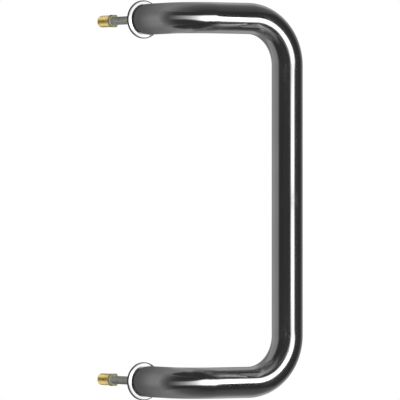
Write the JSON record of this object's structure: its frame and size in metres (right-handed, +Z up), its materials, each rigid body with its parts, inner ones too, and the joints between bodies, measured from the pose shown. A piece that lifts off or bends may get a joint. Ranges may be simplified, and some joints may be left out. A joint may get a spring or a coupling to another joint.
{
  "type": "door pull handle",
  "caption": "Cranked door pull: a round steel tube bent sideways off the door into an upright grip, with round roses and slit-sleeve anchor studs at its ends.",
  "frame": {"origin": "on the door's face, midway between the two stud axes", "axes": "+Y into the door along the studs, +X towards the offset grip, +Z up along the grip"},
  "size_m": [0.1475, 0.172, 0.387],
  "materials": {
    "polished_tube": "polished steel",
    "polished_rose": "polished steel",
    "bare_steel": "turned",
    "black_steel": "black oxide",
    "plated_stud": "dull zinc plate",
    "plated_nut": "dull zinc plate",
    "turned_brass": "turned"
  },
  "bodies": {
    "root": {"handle_tube": "polished_tube", "upper_rose": "polished_rose", "lower_rose": "polished_rose", "upper_end_plug": "bare_steel", "lower_end_plug": "bare_steel", "upper_set_screw": "black_steel", "lower_set_screw": "black_steel", "upper_stud": "plated_stud", "lower_stud": "plated_stud", "upper_lock_nut": "plated_nut", "lower_lock_nut": "plated_nut", "upper_expansion_sleeve": "turned_brass", "lower_expansion_sleeve": "turned_brass", "upper_expander_cone": "turned_brass", "lower_expander_cone": "turned_brass"}
  },
  "joints": []
}
